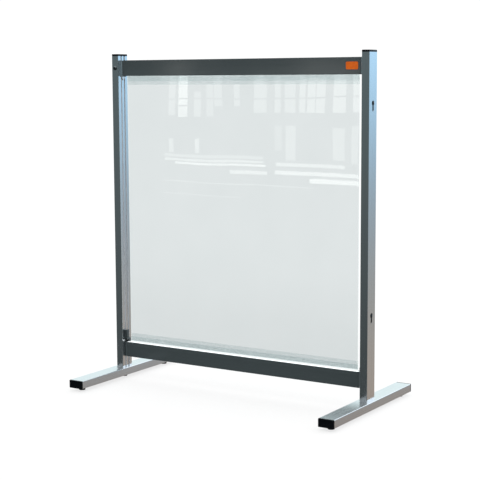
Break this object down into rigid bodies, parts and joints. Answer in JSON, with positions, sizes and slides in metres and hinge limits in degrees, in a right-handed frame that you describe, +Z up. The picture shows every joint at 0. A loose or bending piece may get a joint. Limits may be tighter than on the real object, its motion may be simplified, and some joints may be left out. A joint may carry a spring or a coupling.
{
  "type": "sneeze guard",
  "caption": "Free-standing clear film screen between aluminium posts on bar feet, with a serving gap under its bottom rail.",
  "frame": {"origin": "middle of the footprint, on the counter, at the underside of the glides", "axes": "+Z up, -Y towards the customer, X along the counter"},
  "size_m": [0.76, 0.408, 0.85],
  "materials": {
    "post_aluminium": "satin anodised",
    "rail_coating": "dark grey, semi-gloss",
    "black_plastic": "moulded, fine texture",
    "grey_plastic": "moulded, satin",
    "lever_plastic": "moulded, satin",
    "bright_steel": "zinc plated",
    "black_steel": "black zinc",
    "glide_rubber": "matt",
    "clear_film": "clear, glossy",
    "pocket_film": "clear, layered",
    "badge_orange": "gloss"
  },
  "bodies": {
    "frame": {"left_post": "post_aluminium", "left_foot_bar": "post_aluminium", "left_post_cap": "black_plastic", "top_left_connector": "grey_plastic", "right_post": "post_aluminium", "right_foot_bar": "post_aluminium", "right_post_cap": "black_plastic", "top_right_connector": "grey_plastic", "left_foot_front_cap": "black_plastic", "left_foot_rear_cap": "black_plastic", "right_foot_front_cap": "black_plastic", "right_foot_rear_cap": "black_plastic", "foot_bolts": "black_steel", "foot_washers": "bright_steel", "foot_spacers": "bright_steel", "top_lock_screws": "bright_steel", "glide_inserts": "black_plastic", "top_rail": "rail_coating", "top_rail_screws": "black_steel", "clear_film": "clear_film", "top_film_pocket": "pocket_film", "bottom_film_pocket": "pocket_film", "top_batten": "bright_steel", "bottom_batten": "bright_steel", "rail_badge": "badge_orange"},
    "bottom_rail_carriage": {"bottom_rail": "rail_coating", "bottom_left_connector": "grey_plastic", "bottom_right_connector": "grey_plastic", "bottom_rail_screws": "black_steel", "left_lever_pin": "black_steel", "right_lever_pin": "black_steel"},
    "left_lever": {"left_lock_lever": "lever_plastic"},
    "right_lever": {"right_lock_lever": "lever_plastic"},
    "glide_left_front": {"glide_pad_left_front": "glide_rubber", "glide_stud_left_front": "bright_steel"},
    "glide_left_rear": {"glide_pad_left_rear": "glide_rubber", "glide_stud_left_rear": "bright_steel"},
    "glide_right_front": {"glide_pad_right_front": "glide_rubber", "glide_stud_right_front": "bright_steel"},
    "glide_right_rear": {"glide_pad_right_rear": "glide_rubber", "glide_stud_right_rear": "bright_steel"}
  },
  "joints": [
    {"name": "bottom_rail_lift", "type": "slide", "parent": "frame", "child": "bottom_rail_carriage", "axis": [0, 0, 1], "range_m": [0, 0.01]},
    {"name": "left_lever_turn", "type": "hinge", "parent": "bottom_rail_carriage", "child": "left_lever", "pos_m": [-0.3459, -0.0056, 0.1035], "axis": [0, 1, 0], "range_deg": [0, 90]},
    {"name": "right_lever_turn", "type": "hinge", "parent": "bottom_rail_carriage", "child": "right_lever", "pos_m": [0.3459, 0.0056, 0.1035], "axis": [0, -1, 0], "range_deg": [0, 90]},
    {"name": "glide_left_front_screw", "type": "slide", "parent": "frame", "child": "glide_left_front", "axis": [0, 0, -1], "range_m": [0, 0.006]},
    {"name": "glide_left_rear_screw", "type": "slide", "parent": "frame", "child": "glide_left_rear", "axis": [0, 0, -1], "range_m": [0, 0.006]},
    {"name": "glide_right_front_screw", "type": "slide", "parent": "frame", "child": "glide_right_front", "axis": [0, 0, -1], "range_m": [0, 0.006]},
    {"name": "glide_right_rear_screw", "type": "slide", "parent": "frame", "child": "glide_right_rear", "axis": [0, 0, -1], "range_m": [0, 0.006]}
  ]
}
